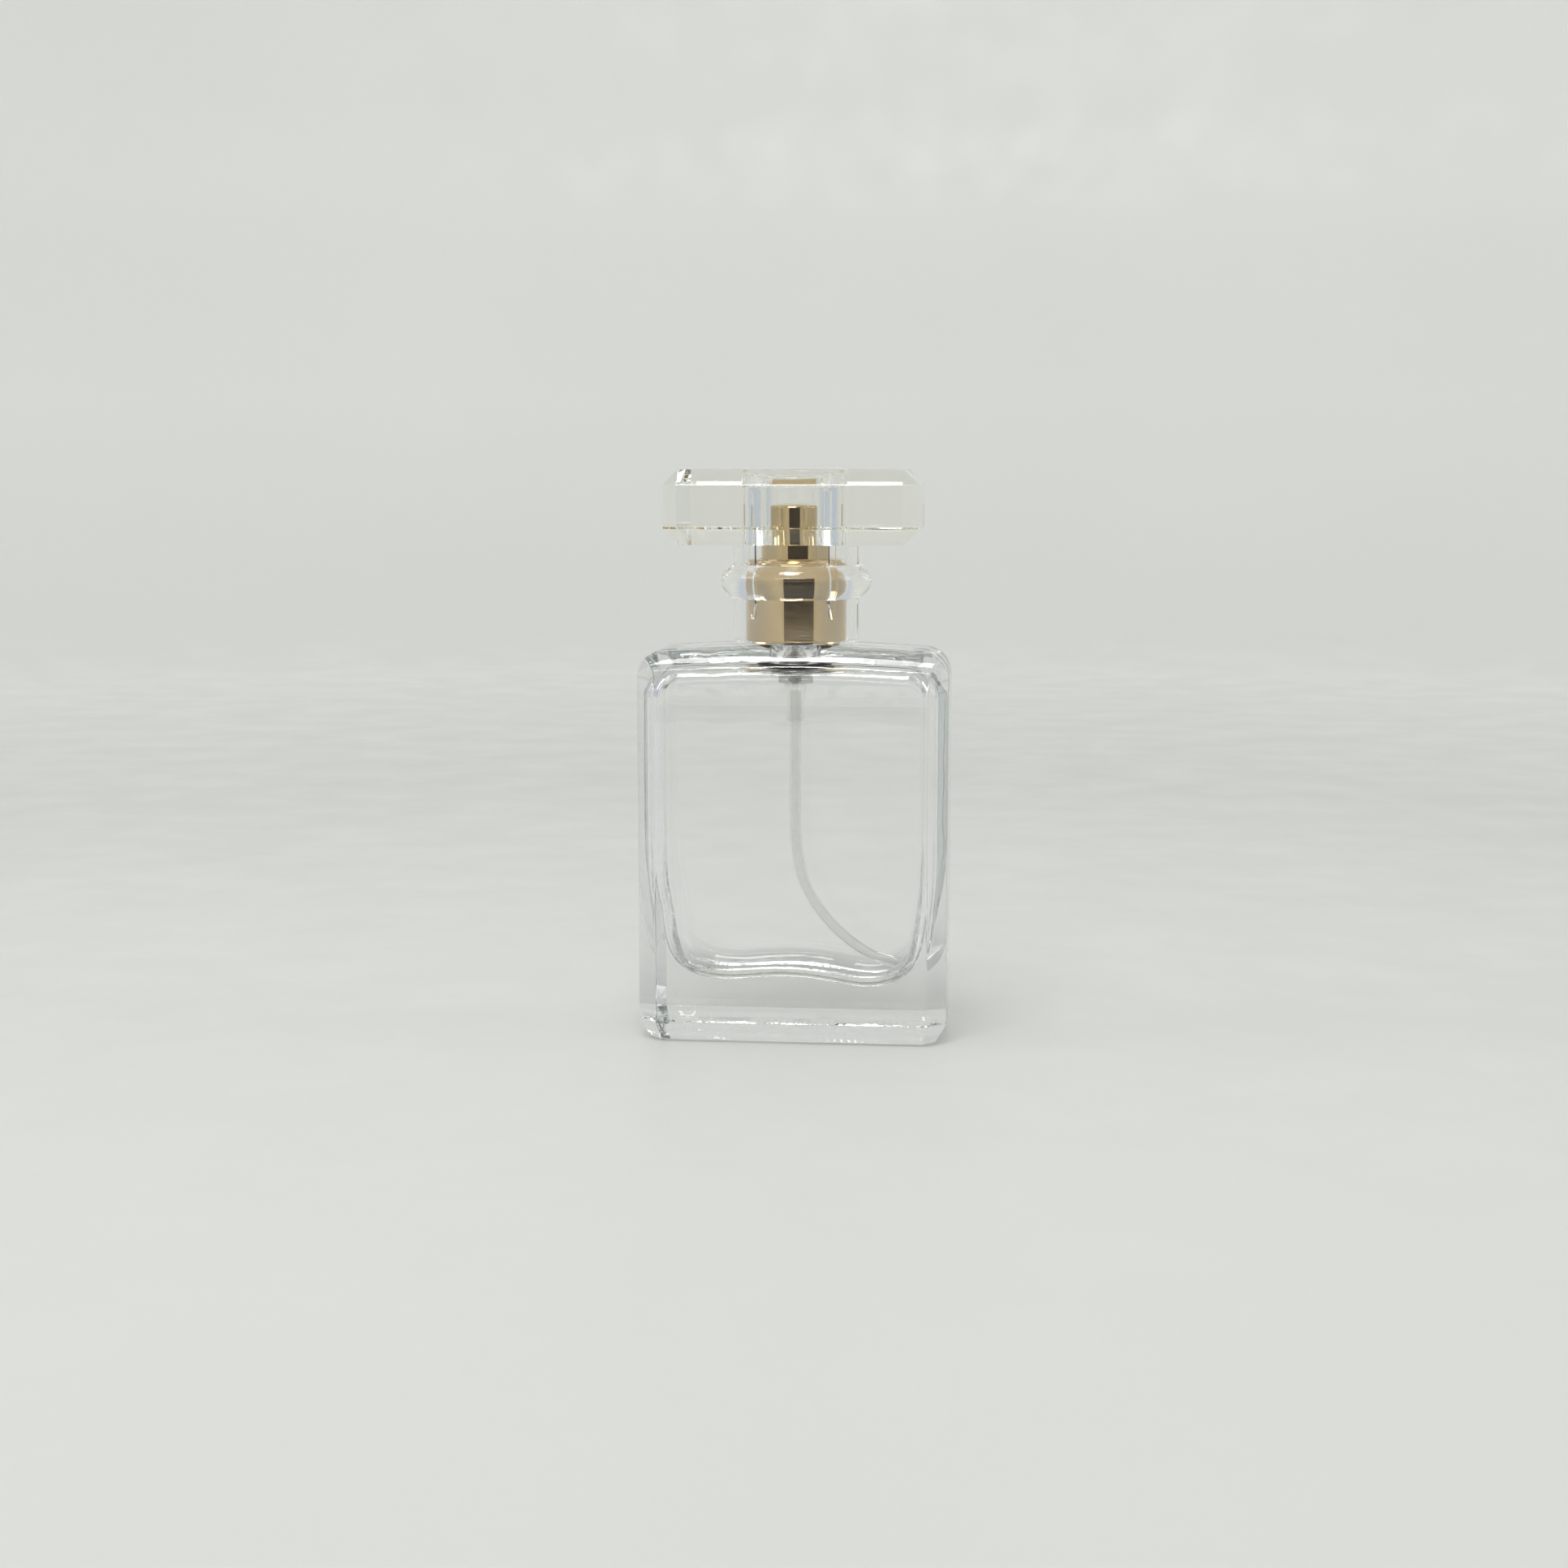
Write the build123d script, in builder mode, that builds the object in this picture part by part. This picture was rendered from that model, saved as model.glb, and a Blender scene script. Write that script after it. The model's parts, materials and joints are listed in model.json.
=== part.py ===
from build123d import *
import math
import os

os.makedirs("parts", exist_ok=True)

# ---------------------------------------------------------------- driving sizes, millimetres
# Origin: centre of the base. X across the width, -Y the front, +Z up.

# glass bottle, outside
body_width = 53.2
body_depth = 21.6
crown_height = 68.4
crown_drop = 0.8
shoulder_round = 5.0
upright_bevel = 3.3
base_bevel_in = 1.8
base_bevel_up = 3.3
glass_edge_round = 0.5
base_recess_inset = 2.6
base_recess_depth = 0.4
base_recess_corner = 2.0

# glass bottle, inside
cavity_half_width = 24.0
cavity_depth = 15.8
cavity_top = 64.7
cavity_crown_drop = 0.55
cavity_shoulder = 4.6
cavity_edge_round = 2.5
wall_foot_right = 34.0
wall_foot_left = 38.0
# the uneven glass floor, from the right wall's foot to the left wall's foot
floor_points = [
    (22.9, 20.0),
    (20.7, 13.0),
    (15.2, 9.9),
    (6.0, 10.6),
    (-4.0, 11.1),
    (-14.8, 10.9),
    (-20.3, 13.8),
    (-22.6, 22.0),
]

# neck finish of the 15 mm crimp size
neck_bore_radius = 4.4
neck_radius = 6.4
neck_root_radius = 6.9
neck_root_bottom = 68.0
neck_root_top = 69.0
neck_root_sweep = 1.0
throat_radius = 5.0
throat_bottom = 64.1
throat_top = 65.7
throat_sweep = -1.6
bead_radius = 7.5
bead_bottom = 72.4
bead_taper = 0.8
bead_round = 0.5
lip_height = 76.4
lip_round = 0.35

# gasket, pump housing and its closure
gasket_inner_radius = 4.45
gasket_radius = 7.2
gasket_thickness = 0.8
flange_radius = 7.3
flange_thickness = 1.0
housing_neck_radius = 4.1
housing_neck_bottom = 70.2
housing_neck_taper = 0.8
housing_radius = 3.0
housing_bottom = 61.5
housing_bottom_round = 0.4
tail_root_radius = 1.95
tail_radius = 1.48
tail_cone_height = 3.0
tail_bottom = 55.0
chamber_radius = 2.3
chamber_bottom = 64.0
ball_cage_radius = 1.15
cage_lip_radius = 0.85
cage_lip_thickness = 0.3
inlet_top = 61.6
inlet_radius = 0.5
tube_socket_radius = 0.98
tube_socket_top = 60.4
turret_seat = 77.7
turret_radius = 3.2
housing_cup_radius = 4.2
housing_cup_top = 79.6
turret_top = 80.0
stem_guide_radius = 1.65

# stem, piston, springs and ball
stem_radius = 1.6
stem_bore_radius = 0.6
stem_bottom = 77.0
stem_top = 88.0
stem_flange_radius = 2.15
stem_flange_thickness = 0.6
lower_stem_radius = 0.8
lower_stem_top = 78.6
stem_port_radius = 0.3
pin_socket_radius = 0.82
pin_socket_top = 78.7
lower_flange_radius = 2.0
lower_flange_bottom = 72.5
lower_flange_thickness = 0.7
spring_guide_radius = 1.15
spring_guide_bottom = 70.0
piston_radius = 2.26
piston_waist_radius = 1.95
piston_bore_radius = 0.84
piston_lip = 0.55
piston_lip_slope = 0.3
piston_bottom = 73.22
piston_top = 75.3
return_spring_radius = 1.74
return_wire_radius = 0.2
return_spring_turns = 6.5
piston_spring_radius = 1.55
piston_wire_radius = 0.13
piston_spring_turns = 2.5
ball_radius = 1.0
ball_seat_gap = 0.02

# dip tube, with its centre line in the X-Z plane
tube_radius = 0.95
tube_bore_radius = 0.62
tube_top = 60.2
tube_bend_start = 38.0
tube_path_points = [
    (0.45, 31.4),
    (1.7, 26.3),
    (4.5, 21.5),
    (9.2, 16.7),
    (13.6, 13.9),
]
tube_end = (18.2, 12.6)
tube_end_direction = (1.0, -0.28)

# ferrule and collar
ferrule_inner_radius = 7.55
ferrule_radius = 7.95
ferrule_plate = 0.4
ferrule_dome_inner_radius = 4.25
ferrule_hole_radius = 2.2
ferrule_curl_bottom = 71.5
ferrule_curl_height = 0.5
ferrule_curl_inner_radius = 6.75
collar_radius = 8.65
collar_inner_radius = 8.0
collar_bottom = 68.9
collar_top = 82.85
collar_corner = 1.3
collar_plate = 0.5
collar_hole_radius = 6.4
collar_hem = 0.15

# spray button
shell_radius = 6.0
shell_wall = 0.35
shell_bottom = 82.4
shell_shoulder = 91.9
shell_top = 92.3
shell_rim = 0.45
core_radius = 5.62
core_gap = 0.03
core_bottom = 83.0
core_skirt_radius = 4.95
core_ceiling = 86.4
hub_radius = 2.9
hub_bottom = 84.4
stem_socket_radius = 1.63
stem_socket_top = 88.06
spray_height = 89.0
spray_channel_radius = 0.5
nozzle_radius = 1.75
nozzle_length = 2.4
nozzle_face = 5.75
nozzle_rim = 0.2
nozzle_dish_radius = 1.1
nozzle_dish_depth = 0.3
nozzle_window_radius = 1.95
orifice_radius = 0.2
swirl_radius = 0.8
swirl_depth = 1.4

# cap
bar_length = 43.0
bar_depth = 27.0
bar_bottom = 85.4
bar_top = 98.1
bar_chamfer = 2.65
cap_edge_round = 0.3
sleeve_radius = 10.8
sleeve_bottom = 68.8
sleeve_edge = 0.3
cap_bore_radius = 9.0
cap_bore_top = 95.8
cap_bore_corner = 0.8
ring_radius = 12.9
ring_height = 5.8
ring_middle = 79.05
rib_count = 4
rib_width = 1.3
rib_point_height = 72.8
rib_shoulder_height = 75.4
rib_top = 94.4
rib_inner_radius = 8.7

# ---------------------------------------------------------------- heights and sizes that follow
half_width = body_width / 2
half_depth = body_depth / 2
crown_flat_half = half_width - shoulder_round
crown_radius = (crown_flat_half**2 + crown_drop**2) / (2 * crown_drop)
crown_edge_height = crown_height - crown_radius + math.sqrt(crown_radius**2 - half_width**2)
gasket_top = lip_height + gasket_thickness
flange_top = gasket_top + flange_thickness
ferrule_plate_top = flange_top + ferrule_plate
dome_top = turret_top + ferrule_plate


def coil(radius, wire_radius, bottom, top, turns):
    """A round-wire compression spring standing between two heights."""
    height = top - bottom - 2 * wire_radius
    with BuildPart() as spring:
        with BuildLine() as wire:
            Helix(height / turns, height, radius, center=(0, 0, bottom + wire_radius))
        with BuildSketch(Plane(origin=wire.line @ 0, z_dir=wire.line % 0)):
            Circle(wire_radius)
        sweep(path=wire.line, is_frenet=True)
    return spring


# ---------------------------------------------------------------- glass bottle
with BuildPart() as cavity:
    with BuildSketch(Plane.XZ):
        with BuildLine():
            shoulder_start = cavity_half_width - cavity_shoulder
            shoulder_top = cavity_top - cavity_crown_drop
            shoulder_foot = shoulder_top - cavity_shoulder
            ThreePointArc((-shoulder_start, shoulder_top), (0, cavity_top), (shoulder_start, shoulder_top))
            RadiusArc((shoulder_start, shoulder_top), (cavity_half_width, shoulder_foot), cavity_shoulder)
            Line((cavity_half_width, shoulder_foot), (cavity_half_width, wall_foot_right))
            Spline(
                (cavity_half_width, wall_foot_right),
                *floor_points,
                (-cavity_half_width, wall_foot_left),
                tangents=((0, -1), (0, 1)),
            )
            Line((-cavity_half_width, wall_foot_left), (-cavity_half_width, shoulder_foot))
            RadiusArc((-cavity_half_width, shoulder_foot), (-shoulder_start, shoulder_top), cavity_shoulder)
        make_face()
    extrude(amount=cavity_depth / 2, both=True)
    fillet(cavity.faces().filter_by(Axis.Y).edges(), radius=cavity_edge_round)

with BuildPart() as glass_bottle:
    # flat body under a gently crowned top
    with BuildSketch(Plane.XZ):
        with BuildLine():
            Polyline(
                (-half_width, crown_edge_height),
                (-half_width, 0),
                (half_width, 0),
                (half_width, crown_edge_height),
            )
            ThreePointArc(
                (half_width, crown_edge_height),
                (0, crown_height),
                (-half_width, crown_edge_height),
            )
        make_face()
    extrude(amount=half_depth, both=True)
    fillet(glass_bottle.faces().sort_by(Axis.Z)[-1].edges(), radius=shoulder_round)

    # four upright bevels that run out into the shoulders
    with BuildSketch(Plane.XY):
        with GridLocations(body_width, body_depth, 2, 2):
            Rectangle(upright_bevel * math.sqrt(2), upright_bevel * math.sqrt(2), rotation=45)
    extrude(amount=crown_height, mode=Mode.SUBTRACT)

    # steep bevel round the base
    base_face = glass_bottle.faces().sort_by(Axis.Z)[0]
    chamfer(base_face.edges(), length=base_bevel_in, length2=base_bevel_up, reference=base_face)

    # the moulded edges are all slightly melted
    fillet(glass_bottle.edges(), radius=glass_edge_round)

    # shallow recess under the base, so the bottle stands on its rim
    with BuildSketch(Plane.XY):
        RectangleRounded(
            body_width - 2 * base_bevel_in - 2 * base_recess_inset,
            body_depth - 2 * base_bevel_in - 2 * base_recess_inset,
            base_recess_corner,
        )
    extrude(amount=base_recess_depth, mode=Mode.SUBTRACT)

    # neck with the rounded bead the ferrule is crimped under
    with BuildSketch(Plane.XZ):
        with BuildLine():
            Line((0, cavity_top), (neck_root_radius, cavity_top))
            Line((neck_root_radius, cavity_top), (neck_root_radius, neck_root_bottom))
            RadiusArc((neck_root_radius, neck_root_bottom), (neck_radius, neck_root_top), neck_root_sweep)
            Polyline(
                (neck_radius, neck_root_top),
                (neck_radius, bead_bottom),
                (bead_radius, bead_bottom + bead_taper),
                (bead_radius, lip_height),
                (0, lip_height),
                (0, cavity_top),
            )
        make_face()
    revolve(axis=Axis.Z)
    bead_shoulder = glass_bottle.edges().filter_by(GeomType.CIRCLE).filter_by(
        lambda e: bead_bottom < e.center().Z < lip_height and abs(e.radius - bead_radius) < 0.01
    )
    fillet(bead_shoulder, radius=bead_round)

    # hollow inside and the bore through the neck
    add(cavity.part, mode=Mode.SUBTRACT)
    with BuildSketch(Plane.XZ):
        with BuildLine():
            Polyline(
                (throat_radius, throat_bottom),
                (0, throat_bottom),
                (0, lip_height),
                (neck_bore_radius, lip_height),
                (neck_bore_radius, throat_top),
            )
            RadiusArc((neck_bore_radius, throat_top), (throat_radius, throat_bottom), throat_sweep)
        make_face()
    revolve(axis=Axis.Z, mode=Mode.SUBTRACT)
    lip_edges = glass_bottle.faces().sort_by(Axis.Z)[-1].edges()
    fillet(lip_edges, radius=lip_round)
glass_bottle.part.label = "glass_bottle"
export_step(glass_bottle.part, "parts/glass_bottle.step")

# ---------------------------------------------------------------- neck gasket
with BuildPart() as neck_gasket:
    with BuildSketch(Plane.XY.offset(lip_height)):
        Circle(gasket_radius)
        Circle(gasket_inner_radius, mode=Mode.SUBTRACT)
    extrude(amount=gasket_thickness)
neck_gasket.part.label = "neck_gasket"
export_step(neck_gasket.part, "parts/neck_gasket.step")

# ---------------------------------------------------------------- pump housing
with BuildPart() as pump_housing:
    with BuildSketch(Plane.XZ):
        with BuildLine():
            Polyline(
                (0, tail_bottom),
                (tail_radius, tail_bottom),
                (tail_radius, housing_bottom - tail_cone_height),
                (tail_root_radius, housing_bottom),
                (housing_radius, housing_bottom),
                (housing_radius, housing_neck_bottom - housing_neck_taper),
                (housing_neck_radius, housing_neck_bottom),
                (housing_neck_radius, gasket_top),
                (flange_radius, gasket_top),
                (flange_radius, flange_top),
                (housing_cup_radius, flange_top),
                (housing_cup_radius, housing_cup_top),
                (0, housing_cup_top),
                (0, tail_bottom),
            )
        make_face()
    revolve(axis=Axis.Z)
    housing_rim = pump_housing.edges().filter_by(
        lambda e: abs(e.center().Z - housing_bottom) < 0.01 and abs(e.radius - housing_radius) < 0.01
    )
    fillet(housing_rim, radius=housing_bottom_round)

    # stepped bore: tube socket, inlet, ball seat and cage, chamber, closure seat
    with BuildSketch(Plane.XZ):
        with BuildLine():
            Polyline(
                (0, tail_bottom),
                (tube_socket_radius, tail_bottom),
                (tube_socket_radius, tube_socket_top),
                (inlet_radius, tube_socket_top),
                (inlet_radius, inlet_top),
                (ball_cage_radius, inlet_top + ball_cage_radius - inlet_radius),
                (ball_cage_radius, chamber_bottom - cage_lip_thickness),
                (cage_lip_radius, chamber_bottom - cage_lip_thickness),
                (cage_lip_radius, chamber_bottom),
                (chamber_radius, chamber_bottom),
                (chamber_radius, turret_seat),
                (turret_radius, turret_seat),
                (turret_radius, housing_cup_top),
                (0, housing_cup_top),
                (0, tail_bottom),
            )
        make_face()
    revolve(axis=Axis.Z, mode=Mode.SUBTRACT)
pump_housing.part.label = "pump_housing"
export_step(pump_housing.part, "parts/pump_housing.step")

# ---------------------------------------------------------------- closure that guides the stem
with BuildPart() as pump_turret:
    with BuildSketch(Plane.XZ):
        with BuildLine():
            Polyline(
                (stem_guide_radius, turret_seat),
                (turret_radius, turret_seat),
                (turret_radius, housing_cup_top),
                (housing_cup_radius, housing_cup_top),
                (housing_cup_radius, turret_top),
                (stem_guide_radius, turret_top),
                (stem_guide_radius, turret_seat),
            )
        make_face()
    revolve(axis=Axis.Z)
pump_turret.part.label = "pump_turret"
export_step(pump_turret.part, "parts/pump_turret.step")

# ---------------------------------------------------------------- hollow upper stem
with BuildPart() as upper_stem:
    with BuildSketch(Plane.XY.offset(stem_bottom)):
        Circle(stem_flange_radius)
    extrude(amount=stem_flange_thickness)
    with BuildSketch(Plane.XY.offset(stem_bottom)):
        Circle(stem_radius)
    extrude(amount=stem_top - stem_bottom)
    with BuildSketch(Plane.XY.offset(stem_bottom)):
        Circle(pin_socket_radius)
    extrude(amount=pin_socket_top - stem_bottom, mode=Mode.SUBTRACT)
    with BuildSketch(Plane.XY.offset(pin_socket_top)):
        Circle(stem_bore_radius)
    extrude(amount=stem_top - pin_socket_top, mode=Mode.SUBTRACT)
    chamfer(upper_stem.edges().group_by(Axis.Z)[-1].sort_by(SortBy.RADIUS)[-1], length=stem_port_radius)
upper_stem.part.label = "upper_stem"
export_step(upper_stem.part, "parts/upper_stem.step")

# ---------------------------------------------------------------- solid lower stem
with BuildPart() as lower_stem:
    with BuildSketch(Plane.XZ):
        with BuildLine():
            Polyline(
                (0, spring_guide_bottom),
                (spring_guide_radius, spring_guide_bottom),
                (spring_guide_radius, lower_flange_bottom),
                (lower_flange_radius, lower_flange_bottom),
                (lower_flange_radius, lower_flange_bottom + lower_flange_thickness),
                (lower_stem_radius, lower_flange_bottom + lower_flange_thickness),
                (lower_stem_radius, lower_stem_top),
                (0, lower_stem_top),
                (0, spring_guide_bottom),
            )
        make_face()
    revolve(axis=Axis.Z)
    # two flats let the liquid pass from the piston up into the stem's bore
    with BuildSketch(Plane.XY.offset(piston_top)):
        with GridLocations(2 * lower_stem_radius, 0, 2, 1):
            Rectangle(2 * stem_port_radius, 2 * lower_stem_radius)
    extrude(amount=lower_stem_top - piston_top, mode=Mode.SUBTRACT)
lower_stem.part.label = "lower_stem"
export_step(lower_stem.part, "parts/lower_stem.step")

# ---------------------------------------------------------------- piston with two sealing lips
with BuildPart() as piston:
    with BuildSketch(Plane.XZ):
        with BuildLine():
            Polyline(
                (piston_bore_radius, piston_bottom),
                (piston_radius, piston_bottom),
                (piston_radius, piston_bottom + piston_lip),
                (piston_waist_radius, piston_bottom + piston_lip + piston_lip_slope),
                (piston_waist_radius, piston_top - piston_lip - piston_lip_slope),
                (piston_radius, piston_top - piston_lip),
                (piston_radius, piston_top),
                (piston_bore_radius, piston_top),
                (piston_bore_radius, piston_bottom),
            )
        make_face()
    revolve(axis=Axis.Z)
piston.part.label = "piston"
export_step(piston.part, "parts/piston.step")

# ---------------------------------------------------------------- springs
return_spring = coil(
    return_spring_radius, return_wire_radius, chamber_bottom, lower_flange_bottom, return_spring_turns
)
return_spring.part.label = "return_spring"
export_step(return_spring.part, "parts/return_spring.step")

piston_spring = coil(piston_spring_radius, piston_wire_radius, piston_top, stem_bottom, piston_spring_turns)
piston_spring.part.label = "piston_spring"
export_step(piston_spring.part, "parts/piston_spring.step")

# ---------------------------------------------------------------- inlet ball, resting on its cone
seat_contact_radius = ball_radius / math.sqrt(2)
ball_height = inlet_top + seat_contact_radius - inlet_radius + seat_contact_radius
with BuildPart() as check_ball:
    with Locations((0, 0, ball_height + ball_seat_gap)):
        Sphere(ball_radius)
check_ball.part.label = "check_ball"
export_step(check_ball.part, "parts/check_ball.step")

# ---------------------------------------------------------------- dip tube
with BuildPart() as dip_tube:
    with BuildLine(Plane.XZ) as tube_path:
        Line((0, tube_top), (0, tube_bend_start))
        Spline(
            (0, tube_bend_start),
            *tube_path_points,
            tube_end,
            tangents=((0, -1), tube_end_direction),
        )
    with BuildSketch(Plane.XY.offset(tube_top)):
        Circle(tube_radius)
        Circle(tube_bore_radius, mode=Mode.SUBTRACT)
    sweep(path=tube_path.line)
dip_tube.part.label = "dip_tube"
export_step(dip_tube.part, "parts/dip_tube.step")

# ---------------------------------------------------------------- crimped ferrule
with BuildPart() as ferrule:
    with BuildSketch(Plane.XZ):
        with BuildLine():
            Polyline(
                (ferrule_curl_inner_radius, ferrule_curl_bottom),
                (ferrule_radius, ferrule_curl_bottom),
                (ferrule_radius, ferrule_plate_top),
                (ferrule_dome_inner_radius + ferrule_plate, ferrule_plate_top),
                (ferrule_dome_inner_radius + ferrule_plate, dome_top),
                (ferrule_hole_radius, dome_top),
                (ferrule_hole_radius, turret_top),
                (ferrule_dome_inner_radius, turret_top),
                (ferrule_dome_inner_radius, flange_top),
                (ferrule_inner_radius, flange_top),
                (ferrule_inner_radius, ferrule_curl_bottom + ferrule_curl_height),
                (ferrule_curl_inner_radius, ferrule_curl_bottom + ferrule_curl_height),
                (ferrule_curl_inner_radius, ferrule_curl_bottom),
            )
        make_face()
    revolve(axis=Axis.Z)
ferrule.part.label = "ferrule"
export_step(ferrule.part, "parts/ferrule.step")

# ---------------------------------------------------------------- gold collar
with BuildPart() as collar:
    with BuildSketch(Plane.XY.offset(collar_bottom)):
        Circle(collar_radius)
    extrude(amount=collar_top - collar_bottom)
    fillet(collar.edges().group_by(Axis.Z)[-1], radius=collar_corner)
    chamfer(collar.edges().group_by(Axis.Z)[0], length=collar_hem)
    with BuildSketch(Plane.XY.offset(collar_bottom)):
        Circle(collar_inner_radius)
    extrude(amount=collar_top - collar_plate - collar_bottom, mode=Mode.SUBTRACT)
    with BuildSketch(Plane.XY.offset(collar_bottom)):
        Circle(collar_hole_radius)
    extrude(amount=collar_top - collar_bottom, mode=Mode.SUBTRACT)
    fillet(collar.edges().group_by(Axis.Z)[-1], radius=collar_hem)
collar.part.label = "collar"
export_step(collar.part, "parts/collar.step")

# ---------------------------------------------------------------- spray button: gold skin
with BuildPart() as actuator_shell:
    with BuildSketch(Plane.XZ):
        with BuildLine():
            Polyline(
                (0, shell_bottom),
                (shell_radius, shell_bottom),
                (shell_radius, shell_shoulder),
            )
            ThreePointArc(
                (shell_radius, shell_shoulder),
                (shell_radius / 2, shell_top - (shell_top - shell_shoulder) / 4),
                (0, shell_top),
            )
            Line((0, shell_top), (0, shell_bottom))
        make_face()
    revolve(axis=Axis.Z)
    shell_rim_edge = actuator_shell.edges().filter_by(lambda e: abs(e.center().Z - shell_shoulder) < 0.01)
    fillet(shell_rim_edge, radius=shell_rim)
    with BuildSketch(Plane.XY.offset(shell_bottom)):
        Circle(shell_radius - shell_wall)
    extrude(amount=shell_shoulder - shell_wall - shell_bottom, mode=Mode.SUBTRACT)
    with BuildSketch(Plane.XZ.offset(-shell_radius)):
        with Locations((0, spray_height)):
            Circle(nozzle_window_radius)
    extrude(amount=shell_radius - core_skirt_radius, mode=Mode.SUBTRACT)
actuator_shell.part.label = "actuator_shell"
export_step(actuator_shell.part, "parts/actuator_shell.step")

# ---------------------------------------------------------------- spray button: plastic core
with BuildPart() as actuator_core:
    with BuildSketch(Plane.XY.offset(core_bottom)):
        Circle(core_radius)
    extrude(amount=shell_shoulder - shell_wall - core_gap - core_bottom)
    with BuildSketch(Plane.XY.offset(core_bottom)):
        Circle(core_skirt_radius)
    extrude(amount=core_ceiling - core_bottom, mode=Mode.SUBTRACT)
    with BuildSketch(Plane.XY.offset(hub_bottom)):
        Circle(hub_radius)
    extrude(amount=core_ceiling - hub_bottom)
    with BuildSketch(Plane.XY.offset(hub_bottom)):
        Circle(stem_socket_radius)
    extrude(amount=stem_socket_top - hub_bottom, mode=Mode.SUBTRACT)
    with BuildSketch(Plane.XY.offset(stem_socket_top)):
        Circle(spray_channel_radius)
    extrude(amount=spray_height - stem_socket_top, mode=Mode.SUBTRACT)
    with BuildSketch(Plane.XZ):
        with Locations((0, spray_height)):
            Circle(spray_channel_radius)
    extrude(amount=-core_radius, mode=Mode.SUBTRACT)
    with BuildSketch(Plane.XZ.offset(nozzle_length - nozzle_face)):
        with Locations((0, spray_height)):
            Circle(nozzle_radius)
    extrude(amount=-nozzle_length, mode=Mode.SUBTRACT)
actuator_core.part.label = "actuator_core"
export_step(actuator_core.part, "parts/actuator_core.step")

# ---------------------------------------------------------------- spray orifice
with BuildPart() as nozzle_insert:
    with BuildSketch(Plane.XZ.offset(nozzle_length - nozzle_face)):
        with Locations((0, spray_height)):
            Circle(nozzle_radius)
    extrude(amount=-nozzle_length)
    with BuildSketch(Plane.XZ.offset(nozzle_length - nozzle_face)):
        with Locations((0, spray_height)):
            Circle(swirl_radius)
    extrude(amount=-swirl_depth, mode=Mode.SUBTRACT)
    with BuildSketch(Plane.XZ.offset(nozzle_length - nozzle_face)):
        with Locations((0, spray_height)):
            Circle(orifice_radius)
    extrude(amount=-nozzle_length, mode=Mode.SUBTRACT)
    with BuildSketch(Plane.XZ.offset(nozzle_dish_depth - nozzle_face)):
        with Locations((0, spray_height)):
            Circle(nozzle_dish_radius)
    extrude(amount=-nozzle_dish_depth, mode=Mode.SUBTRACT)
    chamfer(nozzle_insert.faces().sort_by(Axis.Y)[-1].edges(), length=nozzle_rim / 2)
nozzle_insert.part.label = "nozzle_insert"
export_step(nozzle_insert.part, "parts/nozzle_insert.step")

# ---------------------------------------------------------------- clear T-shaped cap
with BuildPart() as cap:
    # bar cut like an emerald, with every edge bevelled
    with Locations((0, 0, (bar_bottom + bar_top) / 2)):
        Box(bar_length, bar_depth, bar_top - bar_bottom)
    chamfer(cap.edges(), length=bar_chamfer)
    fillet(cap.edges(), radius=cap_edge_round)

    # round sleeve with its half-round ring bead
    with BuildSketch(Plane.XZ):
        with BuildLine():
            Polyline(
                (0, bar_bottom + bar_chamfer),
                (0, sleeve_bottom),
                (sleeve_radius - sleeve_edge, sleeve_bottom),
                (sleeve_radius, sleeve_bottom + sleeve_edge),
                (sleeve_radius, ring_middle - ring_height / 2),
            )
            ThreePointArc(
                (sleeve_radius, ring_middle - ring_height / 2),
                (ring_radius, ring_middle),
                (sleeve_radius, ring_middle + ring_height / 2),
            )
            Polyline(
                (sleeve_radius, ring_middle + ring_height / 2),
                (sleeve_radius, bar_bottom + bar_chamfer),
                (0, bar_bottom + bar_chamfer),
            )
        make_face()
    revolve(axis=Axis.Z)

    # blind bore
    with BuildSketch(Plane.XZ):
        with BuildLine():
            Polyline(
                (0, cap_bore_top),
                (0, sleeve_bottom),
                (cap_bore_radius, sleeve_bottom),
                (cap_bore_radius, cap_bore_top - cap_bore_corner),
            )
            RadiusArc(
                (cap_bore_radius, cap_bore_top - cap_bore_corner),
                (cap_bore_radius - cap_bore_corner, cap_bore_top),
                -cap_bore_corner,
            )
            Line((cap_bore_radius - cap_bore_corner, cap_bore_top), (0, cap_bore_top))
        make_face()
    revolve(axis=Axis.Z, mode=Mode.SUBTRACT)

    # grip ribs with pointed lower ends, standing out of the bore
    for index in range(rib_count):
        angle = (index + 0.5) * 360 / rib_count
        rib_plane = Plane.XY.rotated((0, 0, angle))
        wall_plane = Plane(
            origin=rib_plane.from_local_coords((rib_inner_radius, 0, 0)),
            x_dir=rib_plane.y_dir,
            z_dir=rib_plane.x_dir,
        )
        with BuildSketch(wall_plane):
            with BuildLine():
                Polyline(
                    (0, rib_point_height),
                    (rib_width / 2, rib_shoulder_height),
                    (rib_width / 2, rib_top),
                    (-rib_width / 2, rib_top),
                    (-rib_width / 2, rib_shoulder_height),
                    (0, rib_point_height),
                )
            make_face()
        extrude(amount=(sleeve_radius + cap_bore_radius) / 2 - rib_inner_radius)
cap.part.label = "cap"
export_step(cap.part, "parts/cap.step")
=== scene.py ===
import json
import math

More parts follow.
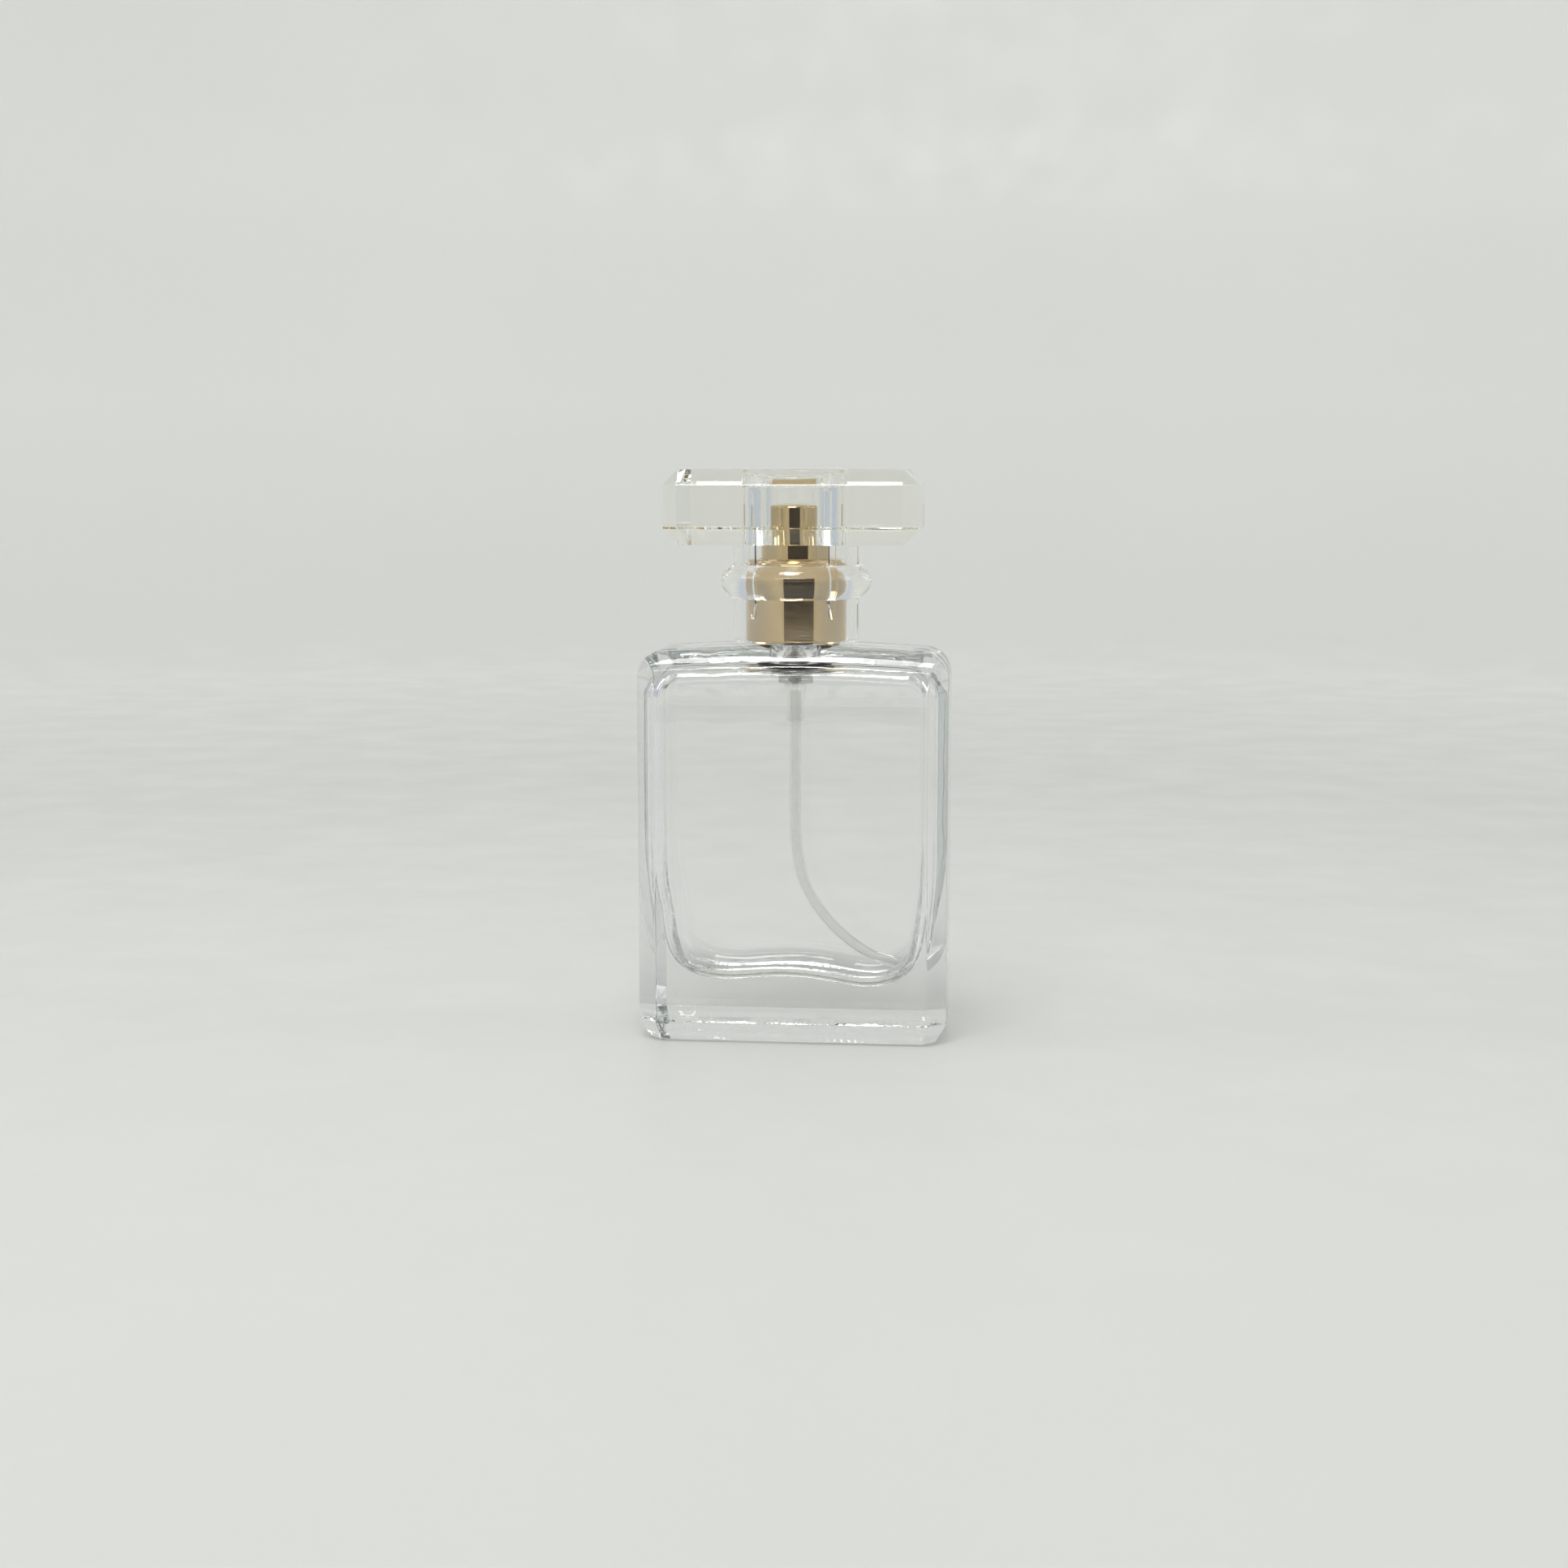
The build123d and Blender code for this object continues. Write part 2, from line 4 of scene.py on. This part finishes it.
import bmesh
import bpy
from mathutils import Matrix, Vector


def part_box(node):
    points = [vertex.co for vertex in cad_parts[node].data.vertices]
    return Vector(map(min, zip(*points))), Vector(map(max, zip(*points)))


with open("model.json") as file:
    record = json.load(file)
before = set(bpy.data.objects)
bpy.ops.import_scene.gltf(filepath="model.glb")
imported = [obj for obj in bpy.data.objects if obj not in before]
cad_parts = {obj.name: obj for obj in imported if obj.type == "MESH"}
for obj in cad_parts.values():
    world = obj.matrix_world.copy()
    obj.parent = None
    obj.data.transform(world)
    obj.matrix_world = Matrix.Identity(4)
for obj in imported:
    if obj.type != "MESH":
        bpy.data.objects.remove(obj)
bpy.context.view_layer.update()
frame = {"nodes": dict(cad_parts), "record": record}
nodes = frame["nodes"]

# ------------------------------------------------------------------ camera
LENS_MM = 55.9
SENSOR_MM = 36.0
CAMERA_TURN = math.radians(5.63)
CAMERA_PITCH = math.radians(7.64)
CAMERA_DISTANCE = 0.4192
CAMERA_SIDE = -0.0021
CAMERA_HEIGHT = 0.1


def make_camera():
    """Camera a little above the cap and to the right of the front, looking slightly down."""
    data = bpy.data.cameras.new("camera")
    data.lens = LENS_MM
    data.sensor_width = SENSOR_MM
    data.clip_start = 0.01
    data.clip_end = 20.0
    camera = bpy.data.objects.new("camera", data)
    bpy.context.scene.collection.objects.link(camera)
    along = Vector((-math.sin(CAMERA_TURN), math.cos(CAMERA_TURN), 0.0))
    across = Vector((along.y, -along.x, 0.0))
    camera.location = -along * CAMERA_DISTANCE + across * CAMERA_SIDE + Vector((0, 0, CAMERA_HEIGHT))
    look = along * math.cos(CAMERA_PITCH) - Vector((0, 0, math.sin(CAMERA_PITCH)))
    camera.rotation_mode = "QUATERNION"
    camera.rotation_quaternion = look.to_track_quat("-Z", "Y")
    bpy.context.scene.camera = camera


make_camera()

# ------------------------------------------------------------------ node helpers
# the part of a noise texture's output that is spread over a whole range
NOISE_LOW = 0.3
NOISE_HIGH = 0.7
BUMP_STRENGTH = 1.0


def new_material(name):
    """A material with its node tree and Principled shader."""
    material = bpy.data.materials.new(name)
    material.use_nodes = True
    tree = material.node_tree
    return material, tree, tree.nodes["Principled BSDF"]


def put(tree, value, socket):
    """Links an output to a socket, or sets the socket to a number or a colour."""
    if isinstance(value, bpy.types.NodeSocket):
        tree.links.new(value, socket)
    elif isinstance(value, tuple):
        socket.default_value = (*value, 1)
    else:
        socket.default_value = value


def noise(tree, scale, detail=3.0, stretch=(1, 1, 1)):
    """Noise in object coordinates, scaled per metre."""
    coords = tree.nodes.new("ShaderNodeTexCoord")
    mapping = tree.nodes.new("ShaderNodeMapping")
    mapping.inputs["Scale"].default_value = stretch
    texture = tree.nodes.new("ShaderNodeTexNoise")
    texture.inputs["Scale"].default_value = scale
    texture.inputs["Detail"].default_value = detail
    tree.links.new(coords.outputs["Object"], mapping.inputs["Vector"])
    tree.links.new(mapping.outputs["Vector"], texture.inputs["Vector"])
    return texture.outputs["Fac"]


def object_axes(tree):
    """The X, Y and Z outputs of the object coordinates, in metres."""
    coords = tree.nodes.new("ShaderNodeTexCoord")
    axes = tree.nodes.new("ShaderNodeSeparateXYZ")
    tree.links.new(coords.outputs["Object"], axes.inputs["Vector"])
    return axes.outputs


def mapped(tree, source, start, end, low=0.0, high=1.0):
    """Maps start to end onto low to high, and holds the value outside."""
    node = tree.nodes.new("ShaderNodeMapRange")
    node.inputs["From Min"].default_value = start
    node.inputs["From Max"].default_value = end
    node.inputs["To Min"].default_value = low
    node.inputs["To Max"].default_value = high
    tree.links.new(source, node.inputs["Value"])
    return node.outputs["Result"]


def spread(tree, source, low, high):
    """Maps a noise value onto a range."""
    return mapped(tree, source, NOISE_LOW, NOISE_HIGH, low, high)


def between(tree, source, first, second):
    """Mixes two colours by a noise value."""
    ramp = tree.nodes.new("ShaderNodeValToRGB")
    ramp.color_ramp.elements[0].position = NOISE_LOW
    ramp.color_ramp.elements[1].position = NOISE_HIGH
    ramp.color_ramp.elements[0].color = (*first, 1)
    ramp.color_ramp.elements[1].color = (*second, 1)
    tree.links.new(source, ramp.inputs["Fac"])
    return ramp.outputs["Color"]


def mixed(tree, factor, first, second, blend="MIX"):
    """Mixes two colours, each of them an output or plain."""
    node = tree.nodes.new("ShaderNodeMix")
    node.data_type = "RGBA"
    node.blend_type = blend
    put(tree, factor, node.inputs["Factor"])
    put(tree, first, node.inputs["A"])
    put(tree, second, node.inputs["B"])
    return node.outputs["Result"]


def maths(tree, operation, first, second=0.0):
    """One step of arithmetic on outputs or numbers."""
    node = tree.nodes.new("ShaderNodeMath")
    node.operation = operation
    put(tree, first, node.inputs[0])
    put(tree, second, node.inputs[1])
    return node.outputs[0]


def band(tree, source, start, full, fade, end):
    """One between full and fade, falling to nothing at start and end."""
    return maths(tree, "MULTIPLY", mapped(tree, source, start, full), mapped(tree, source, end, fade))


def bump(tree, shader, height, distance):
    """Fine relief, distance in metres."""
    node = tree.nodes.new("ShaderNodeBump")
    node.inputs["Strength"].default_value = BUMP_STRENGTH
    node.inputs["Distance"].default_value = distance
    tree.links.new(height, node.inputs["Height"])
    tree.links.new(node.outputs["Normal"], shader.inputs["Normal"])


def absorb(tree, colour, density):
    """Tint that deepens with the thickness of the glass."""
    node = tree.nodes.new("ShaderNodeVolumeAbsorption")
    node.inputs["Color"].default_value = (*colour, 1)
    node.inputs["Density"].default_value = density
    tree.links.new(node.outputs["Volume"], tree.nodes["Material Output"].inputs["Volume"])


# ------------------------------------------------------------------ materials
# noise scales per metre: tint, polish and skin of each kind of surface
CLEAR_TINT_SCALE = 60.0
CLEAR_POLISH_SCALE = 900.0
METAL_TINT_SCALE = 180.0
METAL_LINES_SCALE = 400.0
PLASTIC_TINT_SCALE = 700.0
PLASTIC_POLISH_SCALE = 1500.0
PLASTIC_SKIN_SCALE = 2500.0
HOUSING_TINT_SCALE = 500.0
HOUSING_POLISH_SCALE = 900.0
HOUSING_SKIN_SCALE = 1200.0
# heights in metres where each mould mark starts, is full, fades and ends; then its noise scale and depth
SHOULDER_BAND = (0.0585, 0.062, 0.068, 0.0695)
SHOULDER_SCALE = 210.0
SHOULDER_DEPTH = 5.0
HEEL_BAND = (0.0016, 0.0024, 0.0036, 0.0046)
HEEL_SCALE = 300.0
HEEL_DEPTH = 8.0
FOOT_BAND = (-0.001, -0.0005, 0.0003, 0.0008)
FOOT_SCALE = 120.0
DASH_PITCH = 0.0012
# milky housing, pale along its tail; above it, between two heights, painted shade greys the chamber in
# place of the dark parts and shade inside it
HOUSING_CLEARNESS = 0.94
HOUSING_IOR = 1.07
HOUSING_ROUGH = (0.10, 0.17)
HOUSING_SKIN = 1e-6
TAIL_TOP = 0.0608
CHAMBER_BOTTOM = 0.0622
TAIL_COLOURS = ((0.99, 0.99, 0.98), (1.0, 1.0, 0.99))
CHAMBER_SHADE_COLOURS = ((0.60, 0.60, 0.58), (0.68, 0.68, 0.66))


def moulding_waves(tree):
    """Uneven skin left by the mould: along the shoulder's round, along the heel, and dashes at the foot."""
    axes = object_axes(tree)
    height = axes["Z"]
    shoulder_noise = noise(tree, SHOULDER_SCALE, detail=1.0)
    shoulder = maths(tree, "MULTIPLY", shoulder_noise, band(tree, height, *SHOULDER_BAND))
    heel = maths(tree, "MULTIPLY", noise(tree, HEEL_SCALE, detail=2.0), band(tree, height, *HEEL_BAND))
    dash = maths(tree, "SINE", maths(tree, "MULTIPLY", axes["X"], 2 * math.pi / DASH_PITCH))
    patchy = maths(tree, "MULTIPLY", dash, spread(tree, noise(tree, FOOT_SCALE), 0.0, 1.0))
    foot = maths(tree, "MULTIPLY", patchy, band(tree, height, *FOOT_BAND))
    shoulder_relief = maths(tree, "MULTIPLY", shoulder, SHOULDER_DEPTH)
    heel_relief = maths(tree, "MULTIPLY", heel, HEEL_DEPTH)
    return maths(tree, "ADD", maths(tree, "ADD", shoulder_relief, heel_relief), foot)


def clear(name, tints, ior, rough, ripple_scale, ripple, depth_colour, density, moulded=False):
    """Clear glass or plastic with a faint tint, uneven polish and shallow ripples."""
    material, tree, shader = new_material(name)
    shader.inputs["Transmission Weight"].default_value = 1.0
    shader.inputs["IOR"].default_value = ior
    put(tree, between(tree, noise(tree, CLEAR_TINT_SCALE), *tints), shader.inputs["Base Color"])
    put(tree, spread(tree, noise(tree, CLEAR_POLISH_SCALE), *rough), shader.inputs["Roughness"])
    relief = noise(tree, ripple_scale, detail=1.0)
    if moulded:
        relief = maths(tree, "ADD", relief, moulding_waves(tree))
    bump(tree, shader, relief, ripple)
    absorb(tree, depth_colour, density)
    return material


def metal(name, first, second, rough, relief, lines_along_z=1):
    """Drawn and polished metal with fine turning lines."""
    material, tree, shader = new_material(name)
    shader.inputs["Metallic"].default_value = 1.0
    put(tree, between(tree, noise(tree, METAL_TINT_SCALE), first, second), shader.inputs["Base Color"])
    lines = noise(tree, METAL_LINES_SCALE, stretch=(1, 1, lines_along_z))
    put(tree, spread(tree, lines, *rough), shader.inputs["Roughness"])
    bump(tree, shader, lines, relief)
    return material


def plastic(name, first, second, rough, see_through=0.0, relief=4e-6, ior=1.49):
    """Moulded plastic with a faint mottle, optionally translucent."""
    material, tree, shader = new_material(name)
    shader.inputs["Transmission Weight"].default_value = see_through
    shader.inputs["IOR"].default_value = ior
    put(tree, between(tree, noise(tree, PLASTIC_TINT_SCALE), first, second), shader.inputs["Base Color"])
    put(tree, spread(tree, noise(tree, PLASTIC_POLISH_SCALE), *rough), shader.inputs["Roughness"])
    bump(tree, shader, noise(tree, PLASTIC_SKIN_SCALE), relief)
    return material


def housing_plastic():
    """Milky pump housing: pale along its tail, with painted shade greying the chamber in place of the dark
    parts and shade inside it.
    """
    material, tree, shader = new_material("housing_plastic")
    shader.inputs["Transmission Weight"].default_value = HOUSING_CLEARNESS
    shader.inputs["IOR"].default_value = HOUSING_IOR
    level = mapped(tree, object_axes(tree)["Z"], TAIL_TOP, CHAMBER_BOTTOM)
    tail = between(tree, noise(tree, HOUSING_TINT_SCALE), *TAIL_COLOURS)
    # painted shade: grey base colour over the chamber, standing in for the dark parts and shade inside it
    chamber = between(tree, noise(tree, HOUSING_TINT_SCALE), *CHAMBER_SHADE_COLOURS)
    put(tree, mixed(tree, level, tail, chamber), shader.inputs["Base Color"])
    polish = spread(tree, noise(tree, HOUSING_POLISH_SCALE), *HOUSING_ROUGH)
    put(tree, polish, shader.inputs["Roughness"])
    bump(tree, shader, noise(tree, HOUSING_SKIN_SCALE), HOUSING_SKIN)
    return material


materials = {
    "clear_glass": clear(
        "moulded_glass",
        tints=((1.0, 1.0, 1.0), (0.994, 0.997, 0.995)),
        ior=1.51,
        rough=(0.0, 0.004),
        ripple_scale=90.0,
        ripple=2.5e-5,
        depth_colour=(0.748, 0.772, 0.762),
        density=20.0,
        moulded=True,
    ),
    "cap_clear": clear(
        "clear_cap_plastic",
        tints=((0.996, 0.993, 0.972), (0.992, 0.989, 0.965)),
        ior=1.49,
        rough=(0.0, 0.01),
        ripple_scale=60.0,
        ripple=8e-6,
        depth_colour=(0.94, 0.935, 0.84),
        density=8.0,
    ),
    "gold_collar": metal("collar_gold", (0.66, 0.51, 0.315), (0.72, 0.56, 0.35), (0.05, 0.12), 6e-7, 14),
    "gold_button": metal("button_gold", (0.64, 0.485, 0.265), (0.70, 0.535, 0.30), (0.05, 0.11), 6e-7, 14),
    "bare_aluminium": metal(
        "ferrule_aluminium",
        (0.78, 0.78, 0.79),
        (0.84, 0.84, 0.85),
        (0.2, 0.32),
        2e-6,
        lines_along_z=10,
    ),
    "spring_steel": metal("spring_wire", (0.6, 0.6, 0.61), (0.68, 0.68, 0.69), (0.18, 0.3), 2e-6),
    "ball_steel": metal("ball_steel_polish", (0.72, 0.72, 0.73), (0.76, 0.76, 0.77), (0.04, 0.08), 3e-7),
    "white_plastic": plastic("button_core_plastic", (0.82, 0.82, 0.8), (0.87, 0.87, 0.85), (0.3, 0.42)),
    "nozzle_plastic": plastic("nozzle_plastic", (0.76, 0.76, 0.74), (0.82, 0.82, 0.8), (0.15, 0.25)),
    "gasket_rubber": plastic("gasket_rubber", (0.72, 0.72, 0.7), (0.78, 0.78, 0.76), (0.6, 0.75)),
    "milky_plastic": housing_plastic(),
    "turret_plastic": plastic("turret_plastic", (0.84, 0.84, 0.82), (0.89, 0.89, 0.87), (0.3, 0.4)),
    "stem_plastic": plastic("stem_plastic", (0.85, 0.85, 0.84), (0.9, 0.9, 0.89), (0.22, 0.34)),
    "piston_plastic": plastic("piston_plastic", (0.86, 0.86, 0.84), (0.91, 0.91, 0.89), (0.35, 0.5)),
    "tube_plastic": plastic(
        "tube_plastic",
        (0.96, 0.97, 0.96),
        (0.99, 0.995, 0.99),
        (0.12, 0.2),
        see_through=0.93,
        ior=1.12,
    ),
}

for entry in frame["record"]["subparts"]:
    piece = nodes[entry["node"]]
    piece.data.materials.clear()
    piece.data.materials.append(materials[entry["material_slot"]])

# ------------------------------------------------------------------ stage: a pale paper bowl
BOWL_RADIUS = 0.72
BOWL_BEND = 0.3
BOWL_BEND_STEPS = 12
BOWL_HEIGHT = 1.1
BOWL_STEPS = 128
FLOOR_HEIGHT = -0.00005
RAMP_REACH = 1.6
# way out along the floor plus height, with the colour of the paper and of its own faint glow
PAPER_STOPS = (
    (0.0, (0.455, 0.46, 0.445)),
    (0.35, (0.455, 0.46, 0.445)),
    (0.74, (0.53, 0.535, 0.52)),
    (1.1, (0.65, 0.655, 0.64)),
    (1.5, (0.65, 0.655, 0.64)),
)
GLOW_STOPS = (
    (0.0, (0.155, 0.154, 0.142)),
    (0.35, (0.155, 0.154, 0.142)),
    (0.74, (0.222, 0.221, 0.204)),
    (1.1, (0.215, 0.214, 0.197)),
    (1.5, (0.20, 0.20, 0.184)),
)
# cooler, darker paper at both sides, which only reflections and refractions show
SIDE_START = 0.62
SIDE_END = 0.85
SIDE_PAPER = (0.52, 0.56, 0.62)
SIDE_GLOW = (0.14, 0.152, 0.172)
MOTTLE = ((0.985, 0.985, 0.985), (1, 1, 1))
MOTTLE_SCALE = 6.0
PAPER_ROUGH = (0.28, 0.4)
PAPER_ROUGH_SCALE = 40.0
PAPER_SPECULAR = 0.35
# painted light: extra glow of the paper under the clear foot, in place of the light that the glass lets
# through, over the paper's own glow
PAINTED_UNDER_GLOW = 0.3
UNDER_INSET = 0.0035
UNDER_SOFT = 0.003
FOOT_GLOW = GLOW_STOPS[0][1][1]


def colour_by_reach(tree, reach, stops):
    """Colour that changes with the way out along the floor and up the wall."""
    ramp = tree.nodes.new("ShaderNodeValToRGB")
    ramp.color_ramp.elements[0].color = (*stops[0][1], 1)
    ramp.color_ramp.elements[1].position = stops[-1][0] / RAMP_REACH
    ramp.color_ramp.elements[1].color = (*stops[-1][1], 1)
    for way, colour in stops[1:-1]:
        ramp.color_ramp.elements.new(way / RAMP_REACH).color = (*colour, 1)
    tree.links.new(reach, ramp.inputs["Fac"])
    return ramp.outputs["Color"]


def paper():
    """Pale satin paper, evenly lit by a faint glow of its own, with painted light under the clear foot."""
    material, tree, shader = new_material("studio_paper")
    axes = object_axes(tree)
    square = maths(tree, "ADD", maths(tree, "POWER", axes["X"], 2.0), maths(tree, "POWER", axes["Y"], 2.0))
    way_out = maths(tree, "ADD", maths(tree, "SQRT", square), axes["Z"])
    reach = mapped(tree, way_out, 0.0, RAMP_REACH)
    side = mapped(tree, maths(tree, "ABSOLUTE", axes["X"]), SIDE_START, SIDE_END)
    path = tree.nodes.new("ShaderNodeLightPath")
    unseen = maths(tree, "LESS_THAN", path.outputs["Is Camera Ray"], 0.5)
    aside = maths(tree, "MULTIPLY", side, unseen)
    mottle = between(tree, noise(tree, MOTTLE_SCALE), *MOTTLE)
    for stops, cool, socket in (
        (PAPER_STOPS, SIDE_PAPER, "Base Color"),
        (GLOW_STOPS, SIDE_GLOW, "Emission Color"),
    ):
        sided = mixed(tree, aside, colour_by_reach(tree, reach, stops), cool)
        put(tree, mixed(tree, 1.0, sided, mottle, "MULTIPLY"), shader.inputs[socket])
    # painted light: the paper glows brighter under the clear foot, in place of light let through the glass
    foot_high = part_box("glass_bottle")[1]
    inside = []
    for axis, half in (("X", foot_high[0]), ("Y", foot_high[1])):
        edge = half - UNDER_INSET
        inside.append(mapped(tree, maths(tree, "ABSOLUTE", axes[axis]), edge, edge - UNDER_SOFT))
    under = maths(tree, "MULTIPLY", *inside)
    painted_foot_light = maths(tree, "ADD", maths(tree, "MULTIPLY", under, PAINTED_UNDER_GLOW / FOOT_GLOW), 1.0)
    put(tree, painted_foot_light, shader.inputs["Emission Strength"])
    satin = spread(tree, noise(tree, PAPER_ROUGH_SCALE), *PAPER_ROUGH)
    put(tree, satin, shader.inputs["Roughness"])
    shader.inputs["Specular IOR Level"].default_value = PAPER_SPECULAR
    return material


def new_object(name, mesh, material):
    """Turns a bmesh into an object in the scene."""
    data = bpy.data.meshes.new(name)
    mesh.to_mesh(data)
    mesh.free()
    data.materials.append(material)
    piece = bpy.data.objects.new(name, data)
    bpy.context.scene.collection.objects.link(piece)
    return piece


def make_bowl():
    """Floor that curves up into a wall all round, so that every angle has the same pale surround."""
    profile = [(BOWL_RADIUS * 0.5, FLOOR_HEIGHT), (BOWL_RADIUS, FLOOR_HEIGHT)]
    for step in range(1, BOWL_BEND_STEPS + 1):
        angle = math.pi / 2 * step / BOWL_BEND_STEPS
        profile.append((BOWL_RADIUS + BOWL_BEND * math.sin(angle), BOWL_BEND * (1 - math.cos(angle))))
    profile.append((BOWL_RADIUS + BOWL_BEND, BOWL_HEIGHT))
    mesh = bmesh.new()
    turns = [2 * math.pi * k / BOWL_STEPS for k in range(BOWL_STEPS)]
    rings = [
        [mesh.verts.new((radius * math.cos(turn), radius * math.sin(turn), height)) for turn in turns]
        for radius, height in profile
    ]
    centre = mesh.verts.new((0, 0, FLOOR_HEIGHT))
    for k in range(BOWL_STEPS):
        mesh.faces.new((centre, rings[0][k], rings[0][(k + 1) % BOWL_STEPS]))
    for low, high in zip(rings, rings[1:]):
        for k in range(BOWL_STEPS):
            after = (k + 1) % BOWL_STEPS
            mesh.faces.new((low[k], high[k], high[after], low[after]))
    for face in mesh.faces:
        face.smooth = True
    bowl = new_object("studio_bowl", mesh, paper())


# ------------------------------------------------------------------ stage: cards that only mirrors see
# bands of cloth in front, low and high, which leave a lighter gap near the foot of the collar
FLAG_RADIUS = 0.5
FLAG_BANDS = ((0.002, 0.033), (0.037, 0.33))
FLAG_MIDDLE = math.radians(-79)
FLAG_HALF = math.radians(32)
FLAG_STEPS = 24
FLAG_CLOTH = ((0.004, 0.0037, 0.0033), (0.022, 0.019, 0.016))
# left, right, near y, far y, near height, far height, brightness
GLEAMS = (
    (-0.125, 0.005, -0.045, -0.44, 0.70, 0.70, 32.0),
    (-0.11, 0.01, -0.55, -0.55, 0.385, 0.435, 24.0),
)
GLEAM_WHITE = ((0.9, 0.9, 0.9), (1, 1, 1))
CARD_SCALE = 9.0
# refractions on the way through the cap, off a part inside it and out again
CAP_CROSSINGS = 4


def exactly(tree, count, number):
    """One where a whole count is the given number."""
    over = maths(tree, "GREATER_THAN", count, number - 0.5)
    return maths(tree, "MULTIPLY", over, maths(tree, "LESS_THAN", count, number + 0.5))


def card_surface(name, colours, brightness, under_clear):
    """Shows after one mirror bounce on an outer surface, or also on a part under the clear cap."""
    material, tree, _ = new_material(name)
    path = tree.nodes.new("ShaderNodeLightPath")
    nothing = tree.nodes.new("ShaderNodeBsdfTransparent")
    surface = tree.nodes.new("ShaderNodeEmission")
    surface.inputs["Strength"].default_value = brightness
    put(tree, between(tree, noise(tree, CARD_SCALE), *colours), surface.inputs["Color"])
    mirrored = exactly(tree, path.outputs["Glossy Depth"], 1)
    seen = maths(tree, "LESS_THAN", path.outputs["Transmission Depth"], 0.5)
    if under_clear:
        through_cap = exactly(tree, path.outputs["Transmission Depth"], CAP_CROSSINGS)
        seen = maths(tree, "MAXIMUM", seen, through_cap)
    mix = tree.nodes.new("ShaderNodeMixShader")
    put(tree, maths(tree, "MULTIPLY", mirrored, seen), mix.inputs["Fac"])
    tree.links.new(nothing.outputs[0], mix.inputs[1])
    tree.links.new(surface.outputs[0], mix.inputs[2])
    tree.links.new(mix.outputs[0], tree.nodes["Material Output"].inputs["Surface"])
    return material


def make_card(name, rows, colours, brightness, under_clear):
    """Card of joined rows of points that cameras, diffuse surfaces and shadows don't see."""
    mesh = bmesh.new()
    grid = [[mesh.verts.new(point) for point in row] for row in rows]
    for low, high in zip(grid, grid[1:]):
        for k in range(len(low) - 1):
            mesh.faces.new((low[k], high[k], high[k + 1], low[k + 1]))
    card = new_object(name, mesh, card_surface(name, colours, brightness, under_clear))
    card.visible_camera = False
    card.visible_diffuse = False
    card.visible_shadow = False


def make_flags():
    """Dark cloth in front of the bottle, which the gold parts mirror as a dark strip."""
    turns = [FLAG_MIDDLE - FLAG_HALF + 2 * FLAG_HALF * k / FLAG_STEPS for k in range(FLAG_STEPS + 1)]
    for index, heights in enumerate(FLAG_BANDS):
        rows = [
            [(FLAG_RADIUS * math.cos(turn), FLAG_RADIUS * math.sin(turn), height) for turn in turns]
            for height in heights
        ]
        make_card(f"studio_flag_{index}", rows, FLAG_CLOTH, 1.0, under_clear=True)


def make_gleams():
    """Bright panels above and in front, which the outer rounds of the glass mirror as white lines."""
    for index, (left, right, near, far, low, high, brightness) in enumerate(GLEAMS):
        rows = [[(left, near, low), (right, near, low)], [(left, far, high), (right, far, high)]]
        make_card(f"studio_gleam_{index}", rows, GLEAM_WHITE, brightness, under_clear=False)


# ------------------------------------------------------------------ light
WORLD_COLOUR = (0.975, 0.985, 0.955, 1)
WORLD_STRENGTH = 0.57
# name, place, height of the point it faces, width, height, watts
LIGHTS = (
    ("overhead", (-0.05, -0.24, 0.70), 0.06, 0.28, 0.28, 2.6),
    ("front_strip", (-0.05, -0.55, 0.42), 0.06, 0.5, 0.02, 0.4),
    ("left_soft", (-0.6, -0.1, 0.45), 0.04, 0.3, 0.3, 0.8),
    ("right_soft", (0.6, 0.0, 0.4), 0.04, 0.2, 0.4, 0.5),
)


def make_world():
    """Even pale light from all round."""
    world = bpy.data.worlds.new("studio_world")
    world.use_nodes = True
    background = world.node_tree.nodes["Background"]
    background.inputs["Color"].default_value = WORLD_COLOUR
    background.inputs["Strength"].default_value = WORLD_STRENGTH
    bpy.context.scene.world = world


def area_light(name, place, target_height, width, height, power):
    """Soft rectangular light that faces a point on the bottle's axis."""
    data = bpy.data.lights.new(name, "AREA")
    data.shape = "RECTANGLE"
    data.size = width
    data.size_y = height
    data.energy = power
    light = bpy.data.objects.new(name, data)
    light.location = place
    light.rotation_mode = "QUATERNION"
    light.rotation_quaternion = (Vector((0, 0, target_height)) - Vector(place)).to_track_quat("-Z", "Y")
    bpy.context.scene.collection.objects.link(light)


make_bowl()
make_flags()
make_gleams()
make_world()
for light in LIGHTS:
    area_light(*light)

scene = bpy.context.scene
scene.view_settings.view_transform = "Standard"
# enough bounces for light to cross the thick glass, the cap and the pump inside
CLEAR_BOUNCES = 26
scene.cycles.max_bounces = CLEAR_BOUNCES
scene.cycles.transmission_bounces = CLEAR_BOUNCES
scene.cycles.glossy_bounces = 20
scene.cycles.transparent_max_bounces = 16
